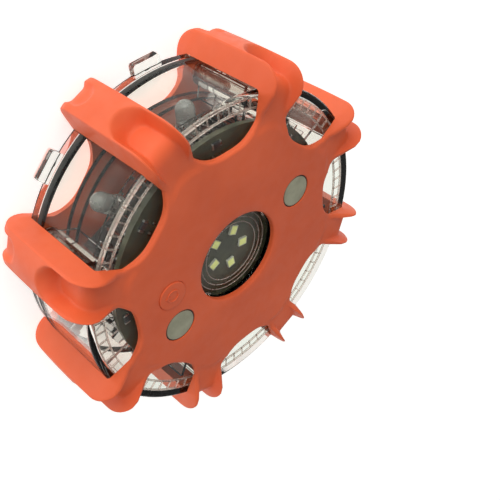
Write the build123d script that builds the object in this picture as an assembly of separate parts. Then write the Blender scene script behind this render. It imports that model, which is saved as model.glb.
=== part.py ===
from build123d import *
import os
from math import atan2, cos, radians, sin

# A puck-shaped roadside safety light: a clear round case full of lamps, held in an orange
# rubber jacket with eight bumper arms.  Millimetres, +Z up.  The origin is the middle of the
# plane the light lies on when its lamp face looks up.

# Overall size of the jacket.
OVERALL_RADIUS = 54.0
OVERALL_HEIGHT = 36.0
MID_HEIGHT = OVERALL_HEIGHT / 2
ARM_COUNT = 8
ARM_PITCH = 360 / ARM_COUNT
HALF_PITCH = ARM_PITCH / 2

# Jacket skin and its arms.
FACE_DROP = 2.5
SKIN = 1.7
FRONT_FACE = OVERALL_HEIGHT - FACE_DROP
BACK_FACE = FACE_DROP
JACKET_SKIN_RADIUS = 49.6
WINDOW_RADIUS = 13.5
RIB_START_RADIUS = 37.0
RIB_CREST_INNER = 43.5
RIB_CREST_OUTER = 47.5
SIDE_CORNER_RADIUS = 53.6
SIDE_CORNER_DROP = 7.0
ARM_EXTRUDE = 8.0
SCOOP_RADIUS = 4.2
SCOOP_FLOOR_RADIUS = 50.0
SCOOP_FLOOR_HEIGHT = 33.4
SCOOP_END_HEIGHT = 25.5
SCOOP_CORNER = 4.0
BACK_SCOOP_FLOOR_RADIUS = 51.6
BACK_SCOOP_FLOOR_HEIGHT = 34.2
BACK_SCOOP_END_HEIGHT = 28.5
SCOOP_RUN_OUT = 12.0

# Notches between the arms.  Widths are half widths of the arm at a distance along its axis.
NOTCH_RADIUS = 34.1
NOTCH_CORNER_ALONG = 37.5
NOTCH_CORNER_WIDTH = 4.9
NOTCH_FOOT_ALONG = 46.5
NOTCH_FOOT_WIDTH = 6.3
NOTCH_OUTER_ALONG = 60.0
NOTCH_OUTER_WIDTH = 4.9
NOTCH_FILLET = 5.0

# Clear case.
CASE_RADIUS = 47.0
CASE_WALL = 1.8
CASE_FRONT = FRONT_FACE - SKIN
CASE_BACK = BACK_FACE + SKIN
SEAL_BOTTOM = 7.2
SEAL_TOP = 9.0
SEAL_WIDTH = 3.0
RIM_FILLET = 1.1
LENS_TOP = 30.2
LENS_BOTTOM = 28.9
LENS_RINGS = (8.9, 10.5, 12.0)
LENS_RING_WIDTH = 0.35
LENS_RING_DEPTH = 0.25
TAB_ANGLES = (69.2, 110.4)
TAB_RADIUS = 50.2
TAB_WIDTH = 8.2
TAB_BOTTOM = 5.0
TAB_TOP = 7.0
TAB_FILLET = 0.7

# Magnets, glued flush with the jacket face.
MAGNET_ANGLES = (0.0, 180.0)
MAGNET_PLACE = 24.2
MAGNET_RADIUS = 4.8
MAGNET_TOP = FRONT_FACE - 0.1
MAGNET_BEVEL = 0.2
MAGNET_FLOOR = 30.7
MAGNET_GAP = 0.1

# Power button.
BUTTON_RADIUS_AT = 23.4
BUTTON_ANGLE = 150.0
BUTTON_PAD_RADIUS = 4.15
BUTTON_PAD_TOP = 33.8
BUTTON_PAD_BOTTOM = 32.3
BUTTON_CLEARANCE = 0.1
PLUNGER_RADIUS = 2.95
PLUNGER_FLANGE_RADIUS = 3.9
PLUNGER_FLANGE_BOTTOM = 29.5
PLUNGER_FLANGE_TOP = 29.9
PLUNGER_SEAL_OUTER = 3.95
PLUNGER_SEAL_BOTTOM = 31.2
MARK_RING_RADIUS = 1.7
MARK_WIDTH = 0.5
MARK_HEIGHT = 0.2

# Circuit board and what it carries.
BOARD_RADIUS = 37.0
BOARD_TOP = 27.6
BOARD_THICKNESS = 1.6
BOARD_BOTTOM = BOARD_TOP - BOARD_THICKNESS
WHITE_LED_COUNT = 5
WHITE_LED_PLACE = 5.7
WHITE_LED_FIRST_ANGLE = 38.5
WHITE_LED_LENGTH = 3.0
WHITE_LED_WIDTH = 2.6
WHITE_LED_HEIGHT = 0.8
PHOSPHOR_LENGTH = 2.5
PHOSPHOR_WIDTH = 2.1
PHOSPHOR_DEPTH = 0.3
SWITCH_SIZE = 4.5
SWITCH_HEIGHT = 1.3
SWITCH_STEM_RADIUS = 1.0
SWITCH_BORE_RADIUS = 1.05
SWITCH_BORE_DEPTH = 0.9
SWITCH_STEM_DEPTH = 0.3
CHIP_LENGTH = 8.7
CHIP_WIDTH = 3.9
CHIP_HEIGHT = 1.6
CHIP_LEGS_PER_SIDE = 7
CHIP_LEG_PITCH = 1.27
CHIP_LEG_LENGTH = 1.0
CHIP_LEG_WIDTH = 0.4
CHIP_LEG_HEIGHT = 0.6
CHIP_PLACE = (0.0, 21.5)
RESISTOR_LENGTH = 3.2
RESISTOR_WIDTH = 1.6
RESISTOR_HEIGHT = 0.6
RESISTOR_PLACE = 34.6
CAPACITOR_SIZE = (3.2, 2.5, 1.4)
CAPACITOR_SPOTS = ((9.0, 24.5), (-9.0, 24.5))
TRANSISTOR_SIZE = (2.9, 1.4, 1.0)
TRANSISTOR_SPOTS = ((14.5, 24.0), (-14.5, 24.0), (14.5, -24.0), (-14.5, -24.0))

# Side lamps: 5 mm round lamps lying radially, one in each notch.
LAMP_RADIUS = 2.5
LAMP_FLANGE_RADIUS = 2.9
LAMP_FLANGE = 1.0
LAMP_BACK = 33.4
LAMP_DOME_CENTRE = 39.5
LAMP_HEIGHT = 18.0
PIN_SIZE = 0.5
PIN_SPACING = 2.54
PIN_TURN_RADIUS_AT = 31.4
PIN_TOP = BOARD_TOP + 0.5
PIN_HOLE_RADIUS = 0.45

# Clear carrier that holds the side lamps and divides the bays.
CARRIER_OUTER = 36.2
CARRIER_INNER = LAMP_BACK + LAMP_FLANGE
CARRIER_BOTTOM = 10.0
CARRIER_TOP = BOARD_BOTTOM
BAY_WALL_ANGLE = 17.0
BAY_WALL_OUTER = 44.6
BAY_WALL_THICKNESS = 1.0
FIN_OUTER = 38.6
FIN_THICKNESS = 0.7
FIN_ANGLES = (-13.0, -6.5, 0.0, 6.5, 13.0)
SHELF_BOTTOM = 20.9
SHELF_TOP = 21.6
LAMP_BORE_CLEARANCE = 0.05

# Screws.
CASE_SCREW_ANGLES = (45.0, 135.0, 225.0, 315.0)
CASE_SCREW_PLACE = 41.0
CASE_SCREW_BOSS = 3.1
CASE_SCREW_RADIUS = 1.25
CASE_SCREW_HEAD_RADIUS = 2.3
CASE_SCREW_HEAD = 1.6
CASE_SCREW_LENGTH = 11.0
BOARD_SCREW_ANGLES = (0.0, 90.0, 180.0, 270.0)
BOARD_SCREW_PLACE = 32.5
BOARD_SCREW_BOSS = 2.2
BOARD_SCREW_RADIUS = 1.0
BOARD_SCREW_HEAD_RADIUS = 1.8
BOARD_SCREW_HEAD = 1.2
BOARD_SCREW_LENGTH = 3.6
SCREW_CLEARANCE = 0.05
SLOT_WIDTH = 0.5
SLOT_DEPTH = 0.6
SLOT_REACH = 1.25
HEAD_ROUNDING = 1 / 3

# Three AAA cells in a tray on the back cover.
CELL_RADIUS = 5.2
CELL_LENGTH = 43.2
CELL_NUB_RADIUS = 1.9
CELL_NUB = 1.0
CELL_EDGE = 0.6
CELL_CLEARANCE = 0.05
CELL_SPACING = 11.2
CELL_ROWS = (-1, 0, 1)
TRAY_FLOOR = 1.0
TRAY_WALL = 1.2
TRAY_BOTTOM = CASE_BACK + CASE_WALL
TRAY_HEIGHT = 8.5
TRAY_END_ROOM = 3.6
CELL_HEIGHT = TRAY_BOTTOM + TRAY_FLOOR + CELL_RADIUS
PLATE_THICKNESS = 0.4
PLATE_SIZE = 7.0
SPRING_WIRE = 0.25
SPRING_COIL_RADIUS = 2.4
SPRING_TURNS = 3.0
WIRE_RADIUS = 0.6
WIRE_BEND = 2.4
WIRE_TOP = BOARD_BOTTOM

PARTS_FOLDER = "parts"


def polar(radius, angle, height=0.0):
    """A point at a radius and angle in plan, at a height."""
    return (radius * cos(radians(angle)), radius * sin(radians(angle)), height)


def disc(radius, bottom, top, centre=(0.0, 0.0)):
    """An upright round piece between two heights."""
    place = Pos(centre[0], centre[1], bottom)
    return place * Cylinder(radius, top - bottom, align=(Align.CENTER, Align.CENTER, Align.MIN))


def block(length, width, bottom, top, place=(0.0, 0.0), turn=0.0):
    """An upright box between two heights, turned about its own middle."""
    box = Box(length, width, top - bottom, align=(Align.CENTER, Align.CENTER, Align.MIN))
    return Pos(place[0], place[1], bottom) * Rot(0, 0, turn) * box


def around(shape, angle):
    """The shape turned about the light's own axis."""
    return Rot(0, 0, angle) * shape


def radial(shape, angle, radius, height):
    """A shape made along +Z, laid outwards at a radius and angle."""
    return Rot(0, 0, angle) * Pos(radius, 0, height) * Rot(0, 90, 0) * shape


def save(name, *solids):
    """Writes one node from its solids."""
    shape = solids[0] if len(solids) == 1 else Compound(children=list(solids))
    shape.label = name
    export_step(shape, os.path.join(PARTS_FOLDER, name + ".step"))


# ---------------------------------------------------------------- rubber jacket

def notch_corner(along, width, side):
    """A notch point in the notch's own frame, from its place beside the arm."""
    turn = radians(HALF_PITCH)
    out = along * cos(turn) + width * sin(turn)
    across = along * sin(turn) - width * cos(turn)
    return (out, side * across)


def notch_cutter():
    """The space between two arms, opening outwards along +X."""
    corners = [notch_corner(NOTCH_CORNER_ALONG, NOTCH_CORNER_WIDTH, side) for side in (-1, 1)]
    feet = [notch_corner(NOTCH_FOOT_ALONG, NOTCH_FOOT_WIDTH, side) for side in (-1, 1)]
    tips = [notch_corner(NOTCH_OUTER_ALONG, NOTCH_OUTER_WIDTH, side) for side in (-1, 1)]
    floor_arc = ThreePointArc(corners[0], (NOTCH_RADIUS, 0), corners[1])
    sides = Polyline(corners[1], feet[1], tips[1], tips[0], feet[0], corners[0])
    outline = make_face(floor_arc + sides)
    inner = outline.vertices().sort_by(Axis.X)[:2]
    rounded = fillet(inner, NOTCH_FILLET)
    return extrude(rounded, OVERALL_HEIGHT)


def falling_arc(crest, foot):
    """An arc that leaves the crest level and comes down, or up, to the foot."""
    run = foot[0] - crest[0]
    drop = crest[1] - foot[1]
    radius = (run * run + drop * drop) / (2 * abs(drop))
    half_turn = atan2(abs(run), radius - abs(drop)) / 2
    middle_run = radius * sin(half_turn) * (1 if run > 0 else -1)
    middle_drop = radius * (1 - cos(half_turn)) * (1 if drop > 0 else -1)
    return ThreePointArc(crest, (crest[0] + middle_run, crest[1] - middle_drop), foot)


def arm_blank():
    """One bumper arm along +X before its notches and scoops are cut."""
    low = SIDE_CORNER_DROP
    high = OVERALL_HEIGHT - SIDE_CORNER_DROP
    outline = [
        falling_arc((RIB_CREST_INNER, OVERALL_HEIGHT), (RIB_START_RADIUS, FRONT_FACE)),
        Line((RIB_CREST_INNER, OVERALL_HEIGHT), (RIB_CREST_OUTER, OVERALL_HEIGHT)),
        falling_arc((RIB_CREST_OUTER, OVERALL_HEIGHT), (SIDE_CORNER_RADIUS, high)),
        ThreePointArc((SIDE_CORNER_RADIUS, high), (OVERALL_RADIUS, MID_HEIGHT),
                      (SIDE_CORNER_RADIUS, low)),
        falling_arc((RIB_CREST_OUTER, 0), (SIDE_CORNER_RADIUS, low)),
        Line((RIB_CREST_OUTER, 0), (RIB_CREST_INNER, 0)),
        falling_arc((RIB_CREST_INNER, 0), (RIB_START_RADIUS, BACK_FACE)),
        Line((RIB_START_RADIUS, BACK_FACE), (RIB_START_RADIUS, FRONT_FACE)),
    ]
    profile = make_face(Curve() + outline)
    return extrude(Plane.XZ * profile, ARM_EXTRUDE, both=True)


def scoop_cutter(floor_radius, floor_height, end_height):
    """The finger-wide scoop that runs up an arm's side, over its corner and along the face."""
    centre_out = floor_radius + SCOOP_RADIUS
    bend = SCOOP_CORNER + SCOOP_RADIUS
    bend_height = floor_height - SCOOP_CORNER
    bend_out = floor_radius - SCOOP_CORNER
    upright = disc(SCOOP_RADIUS, end_height, bend_height, (centre_out, 0))
    end = Pos(centre_out, 0, end_height) * Sphere(SCOOP_RADIUS)
    section = Plane.XY.offset(bend_height) * Pos(centre_out, 0) * Circle(SCOOP_RADIUS)
    hinge = Axis((bend_out, 0, bend_height), (0, -1, 0))
    corner = revolve(section, hinge, 90)
    run = Cylinder(SCOOP_RADIUS, SCOOP_RUN_OUT, align=(Align.CENTER, Align.CENTER, Align.MAX))
    level = Pos(bend_out, 0, bend_height + bend) * Rot(0, 90, 0) * run
    return upright + end + corner + level


def rubber_jacket():
    """One soft moulding: two eight-pointed stars joined round the side by eight arms."""
    skin = disc(JACKET_SKIN_RADIUS, BACK_FACE, FRONT_FACE)
    jacket = skin
    blank = arm_blank()
    for arm in range(ARM_COUNT):
        jacket += around(blank, arm * ARM_PITCH)
    jacket -= disc(CASE_RADIUS, CASE_BACK, CASE_FRONT)
    jacket -= disc(WINDOW_RADIUS, 0, OVERALL_HEIGHT)
    notch = notch_cutter()
    front_scoop = scoop_cutter(SCOOP_FLOOR_RADIUS, SCOOP_FLOOR_HEIGHT, SCOOP_END_HEIGHT)
    shallow_scoop = scoop_cutter(BACK_SCOOP_FLOOR_RADIUS, BACK_SCOOP_FLOOR_HEIGHT,
                                 BACK_SCOOP_END_HEIGHT)
    back_scoop = mirror(shallow_scoop, Plane.XY.offset(MID_HEIGHT))
    for arm in range(ARM_COUNT):
        jacket -= around(notch, arm * ARM_PITCH + HALF_PITCH)
        jacket -= around(front_scoop, arm * ARM_PITCH)
        jacket -= around(back_scoop, arm * ARM_PITCH)
    for angle in MAGNET_ANGLES:
        jacket -= disc(MAGNET_RADIUS + MAGNET_GAP, CASE_FRONT, OVERALL_HEIGHT,
                       polar(MAGNET_PLACE, angle))
    pad_hole = BUTTON_PAD_RADIUS + BUTTON_CLEARANCE
    jacket -= disc(pad_hole, CASE_FRONT, OVERALL_HEIGHT, polar(BUTTON_RADIUS_AT, BUTTON_ANGLE))
    return jacket


# ---------------------------------------------------------------- clear case

def front_case():
    """The clear front shell with its lens, magnet wells, button hole and screw bosses."""
    shell = disc(CASE_RADIUS, SEAL_TOP, CASE_FRONT)
    rim = shell.edges().filter_by(GeomType.CIRCLE).sort_by(Axis.Z)[-1]
    shell = fillet(rim, RIM_FILLET)
    ceiling = CASE_FRONT - CASE_WALL
    shell -= disc(CASE_RADIUS - CASE_WALL, SEAL_TOP, ceiling)
    for angle in CASE_SCREW_ANGLES:
        spot = polar(CASE_SCREW_PLACE, angle)
        shell += disc(CASE_SCREW_BOSS, SEAL_TOP, ceiling, spot)
    for angle in BOARD_SCREW_ANGLES:
        shell += disc(BOARD_SCREW_BOSS, BOARD_TOP, ceiling, polar(BOARD_SCREW_PLACE, angle))
    shell += disc(WINDOW_RADIUS + CASE_WALL, LENS_BOTTOM, ceiling)
    shell -= disc(WINDOW_RADIUS, LENS_TOP, CASE_FRONT)
    for ring in LENS_RINGS:
        groove = disc(ring + LENS_RING_WIDTH, LENS_TOP - LENS_RING_DEPTH, LENS_TOP)
        shell -= groove - disc(ring, LENS_TOP - LENS_RING_DEPTH, LENS_TOP)
    for angle in MAGNET_ANGLES:
        shell -= disc(MAGNET_RADIUS + MAGNET_GAP, MAGNET_FLOOR, CASE_FRONT,
                      polar(MAGNET_PLACE, angle))
    button = polar(BUTTON_RADIUS_AT, BUTTON_ANGLE)
    shell -= disc(PLUNGER_RADIUS + BUTTON_CLEARANCE, ceiling, CASE_FRONT, button)
    shell -= disc(PLUNGER_SEAL_OUTER, PLUNGER_SEAL_BOTTOM, CASE_FRONT, button)
    screw_hole = CASE_SCREW_RADIUS + SCREW_CLEARANCE
    for angle in CASE_SCREW_ANGLES:
        spot = polar(CASE_SCREW_PLACE, angle)
        shell -= disc(screw_hole, SEAL_TOP, CASE_BACK + CASE_SCREW_HEAD + CASE_SCREW_LENGTH + 1,
                      spot)
    pilot = BOARD_SCREW_RADIUS + SCREW_CLEARANCE
    for angle in BOARD_SCREW_ANGLES:
        spot = polar(BOARD_SCREW_PLACE, angle)
        shell -= disc(pilot, BOARD_TOP, BOARD_BOTTOM + BOARD_SCREW_LENGTH, spot)
    return shell


def back_cover():
    """The clear back cover with its rim, carrier ring, screw holes and two prising tabs."""
    cover = disc(CASE_RADIUS, CASE_BACK, SEAL_BOTTOM)
    rim = cover.edges().filter_by(GeomType.CIRCLE).sort_by(Axis.Z)[0]
    cover = fillet(rim, RIM_FILLET)
    cover -= disc(CASE_RADIUS - SEAL_WIDTH, TRAY_BOTTOM, SEAL_BOTTOM)
    cover += (disc(CARRIER_OUTER, TRAY_BOTTOM, CARRIER_BOTTOM)
              - disc(CARRIER_INNER, TRAY_BOTTOM, CARRIER_BOTTOM))
    for angle in TAB_ANGLES:
        tab = block(2 * TAB_RADIUS, TAB_WIDTH, TAB_BOTTOM, TAB_TOP)
        upright = tab.edges().filter_by(Axis.Z).sort_by(Axis.X)[-2:]
        tab = fillet(upright, TAB_FILLET)
        tab -= disc(CASE_RADIUS - SEAL_WIDTH / 2, 0, OVERALL_HEIGHT)
        tab -= block(OVERALL_RADIUS, OVERALL_RADIUS, 0, OVERALL_HEIGHT,
                     (-OVERALL_RADIUS, 0))
        cover += around(tab, angle)
    for angle in CASE_SCREW_ANGLES:
        spot = polar(CASE_SCREW_PLACE, angle)
        cover += disc(CASE_SCREW_BOSS, TRAY_BOTTOM, SEAL_TOP, spot)
        cover -= disc(CASE_SCREW_RADIUS + SCREW_CLEARANCE, CASE_BACK, SEAL_TOP, spot)
        cover -= disc(CASE_SCREW_HEAD_RADIUS + SCREW_CLEARANCE, CASE_BACK,
                      CASE_BACK + CASE_SCREW_HEAD, spot)
    return cover


def case_seal():
    """The black ring squeezed between the two halves of the case."""
    ring = disc(CASE_RADIUS, SEAL_BOTTOM, SEAL_TOP)
    ring -= disc(CASE_RADIUS - CASE_WALL, SEAL_BOTTOM, SEAL_TOP)
    return ring


# ---------------------------------------------------------------- lamps and their carrier

def side_lamp():
    """One 5 mm lamp made along +Z from the back of its flange."""
    flange = Cylinder(LAMP_FLANGE_RADIUS, LAMP_FLANGE,
                      align=(Align.CENTER, Align.CENTER, Align.MIN))
    stem_length = LAMP_DOME_CENTRE - LAMP_BACK
    stem = Cylinder(LAMP_RADIUS, stem_length, align=(Align.CENTER, Align.CENTER, Align.MIN))
    return flange + stem + Pos(0, 0, stem_length) * Sphere(LAMP_RADIUS)


def lamp_pins(angle):
    """The two leads of a side lamp: straight back, then up through the board."""
    pins = []
    run = LAMP_BACK - PIN_TURN_RADIUS_AT + PIN_SIZE / 2
    for side in (-1, 1):
        across = side * PIN_SPACING / 2
        level = block(run, PIN_SIZE, LAMP_HEIGHT - PIN_SIZE / 2, LAMP_HEIGHT + PIN_SIZE / 2,
                      (LAMP_BACK - run / 2, across))
        upright = block(PIN_SIZE, PIN_SIZE, LAMP_HEIGHT - PIN_SIZE / 2, PIN_TOP,
                        (PIN_TURN_RADIUS_AT, across))
        pins.append(around(level + upright, angle))
    return pins


def led_carrier():
    """The clear ring that holds the side lamps, with bay walls, a shelf and light-breaking fins."""
    ring = disc(CARRIER_OUTER, CARRIER_BOTTOM, CARRIER_TOP)
    shelf_angles = [arm * ARM_PITCH + HALF_PITCH for arm in range(ARM_COUNT)]
    for angle in shelf_angles:
        for side in (-1, 1):
            wall = block(BAY_WALL_OUTER - CARRIER_INNER, BAY_WALL_THICKNESS, CARRIER_BOTTOM,
                         CARRIER_TOP, ((BAY_WALL_OUTER + CARRIER_INNER) / 2, 0))
            ring += around(wall, angle + side * BAY_WALL_ANGLE)
        for fin_angle in FIN_ANGLES:
            fin = block(FIN_OUTER - CARRIER_INNER, FIN_THICKNESS, SHELF_BOTTOM, CARRIER_TOP,
                        ((FIN_OUTER + CARRIER_INNER) / 2, 0))
            ring += around(fin, angle + fin_angle)
    ring += disc(FIN_OUTER, SHELF_BOTTOM, SHELF_TOP)
    ring -= disc(CARRIER_INNER, CARRIER_BOTTOM, CARRIER_TOP)
    bore = Cylinder(LAMP_RADIUS + LAMP_BORE_CLEARANCE, LAMP_DOME_CENTRE - LAMP_BACK)
    seat = Cylinder(LAMP_FLANGE_RADIUS + LAMP_BORE_CLEARANCE, 2 * LAMP_FLANGE)
    for angle in shelf_angles:
        ring -= radial(bore, angle, CARRIER_INNER, LAMP_HEIGHT)
        ring -= radial(seat, angle, LAMP_BACK, LAMP_HEIGHT)
    for angle in CASE_SCREW_ANGLES:
        ring -= disc(CASE_SCREW_BOSS + LAMP_BORE_CLEARANCE, CARRIER_BOTTOM, CARRIER_TOP,
                     polar(CASE_SCREW_PLACE, angle))
    return ring


# ---------------------------------------------------------------- circuit board

def main_board():
    """The round circuit board, drilled for the lamp leads and its own screws."""
    board = disc(BOARD_RADIUS, BOARD_BOTTOM, BOARD_TOP)
    for arm in range(ARM_COUNT):
        for side in (-1, 1):
            hole = disc(PIN_HOLE_RADIUS, BOARD_BOTTOM, BOARD_TOP,
                        (PIN_TURN_RADIUS_AT, side * PIN_SPACING / 2))
            board -= around(hole, arm * ARM_PITCH + HALF_PITCH)
    for angle in BOARD_SCREW_ANGLES:
        board -= disc(BOARD_SCREW_RADIUS + SCREW_CLEARANCE, BOARD_BOTTOM, BOARD_TOP,
                      polar(BOARD_SCREW_PLACE, angle))
    return board


def white_led(angle):
    """One surface-mounted lamp package with the well that its phosphor fills."""
    top = BOARD_TOP + WHITE_LED_HEIGHT
    place = polar(WHITE_LED_PLACE, angle)
    package = block(WHITE_LED_LENGTH, WHITE_LED_WIDTH, BOARD_TOP, top, place, angle)
    well = block(PHOSPHOR_LENGTH, PHOSPHOR_WIDTH, top - PHOSPHOR_DEPTH, top, place, angle)
    return package - well, well


def controller_chip():
    """The controller under the board, with its row of legs on each side."""
    bottom = BOARD_BOTTOM - CHIP_HEIGHT
    chip = block(CHIP_LENGTH, CHIP_WIDTH, bottom, BOARD_BOTTOM, CHIP_PLACE)
    first = -(CHIP_LEGS_PER_SIDE - 1) / 2 * CHIP_LEG_PITCH
    for leg in range(CHIP_LEGS_PER_SIDE):
        place = (CHIP_PLACE[0] + first + leg * CHIP_LEG_PITCH, CHIP_PLACE[1])
        chip += block(CHIP_LEG_WIDTH, CHIP_WIDTH + 2 * CHIP_LEG_LENGTH,
                      BOARD_BOTTOM - CHIP_LEG_HEIGHT, BOARD_BOTTOM, place)
    return chip


def under_board(size, spots):
    """Small parts of one size under the board."""
    length, width, height = size
    return [block(length, width, BOARD_BOTTOM - height, BOARD_BOTTOM, spot) for spot in spots]


# ---------------------------------------------------------------- power button

def power_button():
    """The rubber pad of the button with a raised ring-and-bar mark."""
    place = polar(BUTTON_RADIUS_AT, BUTTON_ANGLE)
    pad = disc(BUTTON_PAD_RADIUS, BUTTON_PAD_BOTTOM, BUTTON_PAD_TOP, place)
    top = BUTTON_PAD_TOP + MARK_HEIGHT
    ring = disc(MARK_RING_RADIUS + MARK_WIDTH, BUTTON_PAD_TOP, top, place)
    ring -= disc(MARK_RING_RADIUS, BUTTON_PAD_TOP, top, place)
    bar_middle = (place[0], place[1] + MARK_RING_RADIUS)
    ring -= block(3 * MARK_WIDTH, 2 * MARK_RING_RADIUS, BUTTON_PAD_TOP, top, bar_middle)
    bar = block(MARK_WIDTH, MARK_RING_RADIUS, BUTTON_PAD_TOP, top, bar_middle)
    return pad + ring + bar


def button_plunger():
    """The hard post between the pad and the switch, with the flange that traps it."""
    place = polar(BUTTON_RADIUS_AT, BUTTON_ANGLE)
    flange = disc(PLUNGER_FLANGE_RADIUS, PLUNGER_FLANGE_BOTTOM, PLUNGER_FLANGE_TOP, place)
    return flange + disc(PLUNGER_RADIUS, PLUNGER_FLANGE_BOTTOM, BUTTON_PAD_BOTTOM, place)


def plunger_seal():
    """The small seal round the plunger in the case front."""
    place = polar(BUTTON_RADIUS_AT, BUTTON_ANGLE)
    seal = disc(PLUNGER_SEAL_OUTER, PLUNGER_SEAL_BOTTOM, CASE_FRONT, place)
    return seal - disc(PLUNGER_RADIUS + BUTTON_CLEARANCE, PLUNGER_SEAL_BOTTOM, CASE_FRONT, place)


def switch_parts():
    """The push switch on the board: its body and its short stem."""
    place = polar(BUTTON_RADIUS_AT, BUTTON_ANGLE)
    top = BOARD_TOP + SWITCH_HEIGHT
    body = block(SWITCH_SIZE, SWITCH_SIZE, BOARD_TOP, top, place)
    body -= disc(SWITCH_BORE_RADIUS, top - SWITCH_BORE_DEPTH, top, place)
    stem = disc(SWITCH_STEM_RADIUS, top - SWITCH_STEM_DEPTH, PLUNGER_FLANGE_BOTTOM, place)
    return body, stem


# ---------------------------------------------------------------- screws and magnets

def screw(radius, length, head_radius, head, seat, place):
    """A pan-head screw with its head below the seat height and its shank going up."""
    body = disc(head_radius, seat - head, seat, place)
    rim = body.edges().filter_by(GeomType.CIRCLE).sort_by(Axis.Z)[0]
    body = fillet(rim, head * HEAD_ROUNDING)
    body += disc(radius, seat, seat + length, place)
    for turn in (0, 90):
        body -= block(head_radius * SLOT_REACH, SLOT_WIDTH, seat - head, seat - head + SLOT_DEPTH,
                      place, turn)
    return body


def magnet(angle):
    """A round magnet, glued in its well."""
    piece = disc(MAGNET_RADIUS, MAGNET_FLOOR, MAGNET_TOP, polar(MAGNET_PLACE, angle))
    rims = piece.edges().filter_by(GeomType.CIRCLE)
    return chamfer(rims, MAGNET_BEVEL)


# ---------------------------------------------------------------- power supply

def cell_frame(row):
    """Where a cell lies: its row across the tray, its height, and which way it points."""
    direction = 1 if row == 0 else -1
    return row * CELL_SPACING, direction


def battery_cell(row):
    """One AAA cell lying along X."""
    across, direction = cell_frame(row)
    can_length = CELL_LENGTH - CELL_NUB
    can = Cylinder(CELL_RADIUS, can_length)
    ends = can.edges().filter_by(GeomType.CIRCLE)
    can = fillet(ends, CELL_EDGE)
    nub = Pos(0, 0, CELL_LENGTH / 2) * Cylinder(CELL_NUB_RADIUS, CELL_NUB)
    cell = can + nub
    turn = Rot(0, 90 * direction, 0)
    return Pos(-direction * CELL_NUB / 2, across, CELL_HEIGHT) * turn * cell


def battery_tray():
    """The black tray with one round-bottomed channel for each cell."""
    length = CELL_LENGTH + 2 * (TRAY_END_ROOM / 2 + TRAY_WALL)
    width = len(CELL_ROWS) * CELL_SPACING + TRAY_WALL
    tray = block(length, width, TRAY_BOTTOM, TRAY_BOTTOM + TRAY_HEIGHT)
    bed_length = CELL_LENGTH + TRAY_END_ROOM
    bed_radius = CELL_RADIUS + CELL_CLEARANCE
    for row in CELL_ROWS:
        across = row * CELL_SPACING
        tray -= Pos(0, across, CELL_HEIGHT) * Rot(0, 90, 0) * Cylinder(bed_radius, bed_length)
        tray -= block(bed_length, 2 * bed_radius, CELL_HEIGHT,
                      TRAY_BOTTOM + TRAY_HEIGHT, (0, across))
    return tray


def contact_plates():
    """The spring-steel plates at both ends of every channel."""
    plates = []
    reach = (CELL_LENGTH + TRAY_END_ROOM) / 2 - PLATE_THICKNESS / 2
    for row in CELL_ROWS:
        for end in (-1, 1):
            plate = block(PLATE_THICKNESS, PLATE_SIZE, CELL_HEIGHT - PLATE_SIZE / 2,
                          CELL_HEIGHT + PLATE_SIZE / 2, (end * reach, row * CELL_SPACING))
            plates.append(plate)
    return plates


def contact_springs():
    """A short coil spring against the flat end of every cell."""
    springs = []
    room = TRAY_END_ROOM / 2 - PLATE_THICKNESS
    coil_height = room - 2 * SPRING_WIRE
    path = Helix(coil_height / SPRING_TURNS, coil_height, SPRING_COIL_RADIUS)
    section = Plane(path @ 0, z_dir=path % 0) * Circle(SPRING_WIRE)
    coil = sweep(section, path)
    for row in CELL_ROWS:
        across, direction = cell_frame(row)
        start = -direction * (CELL_LENGTH / 2 + SPRING_WIRE)
        springs.append(Pos(start, across, CELL_HEIGHT) * Rot(0, -90 * direction, 0) * coil)
    return springs


def supply_wire(side):
    """An insulated wire from an end plate of the tray up to the board."""
    reach = (CELL_LENGTH + TRAY_END_ROOM) / 2 + TRAY_WALL + WIRE_RADIUS
    across = side * CELL_SPACING
    low = CELL_HEIGHT
    turn_height = (CELL_HEIGHT + BOARD_BOTTOM) / 2
    points = [(-reach, across, low), (-reach, across, turn_height),
              (-reach + 3 * WIRE_BEND, across, turn_height), (-reach + 3 * WIRE_BEND, across, WIRE_TOP)]
    path = FilletPolyline(*points, radius=WIRE_BEND)
    section = Plane(path @ 0, z_dir=path % 0) * Circle(WIRE_RADIUS)
    return sweep(section, path)


os.makedirs(PARTS_FOLDER, exist_ok=True)

save("rubber_jacket", rubber_jacket())
save("front_case", front_case())
save("back_cover", back_cover())
save("case_seal", case_seal())
save("led_carrier", led_carrier())
save("main_board", main_board())

all_pins = []
for arm in range(ARM_COUNT):
    lamp_angle = arm * ARM_PITCH + HALF_PITCH
    save("side_lamp_" + str(arm + 1), radial(side_lamp(), lamp_angle, LAMP_BACK, LAMP_HEIGHT))
    all_pins += lamp_pins(lamp_angle)
save("side_lamp_leads", *all_pins)

phosphors = []
for number in range(WHITE_LED_COUNT):
    led_angle = WHITE_LED_FIRST_ANGLE + number * 360 / WHITE_LED_COUNT
    package, phosphor = white_led(led_angle)
    save("white_led_" + str(number + 1), package)
    phosphors.append(phosphor)
save("white_led_phosphors", *phosphors)

save("controller_chip", controller_chip())
resistor_blank = block(RESISTOR_WIDTH, RESISTOR_LENGTH, BOARD_TOP, BOARD_TOP + RESISTOR_HEIGHT,
                       (RESISTOR_PLACE, 0))
save("chip_resistors", *[around(resistor_blank, arm * ARM_PITCH + HALF_PITCH)
                         for arm in range(ARM_COUNT)])
save("chip_capacitors", *under_board(CAPACITOR_SIZE, CAPACITOR_SPOTS))
save("driver_transistors", *under_board(TRANSISTOR_SIZE, TRANSISTOR_SPOTS))

save("power_button", power_button())
save("button_plunger", button_plunger())
save("plunger_seal", plunger_seal())
switch_body, switch_stem = switch_parts()
save("switch_body", switch_body)
save("switch_stem", switch_stem)

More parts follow.
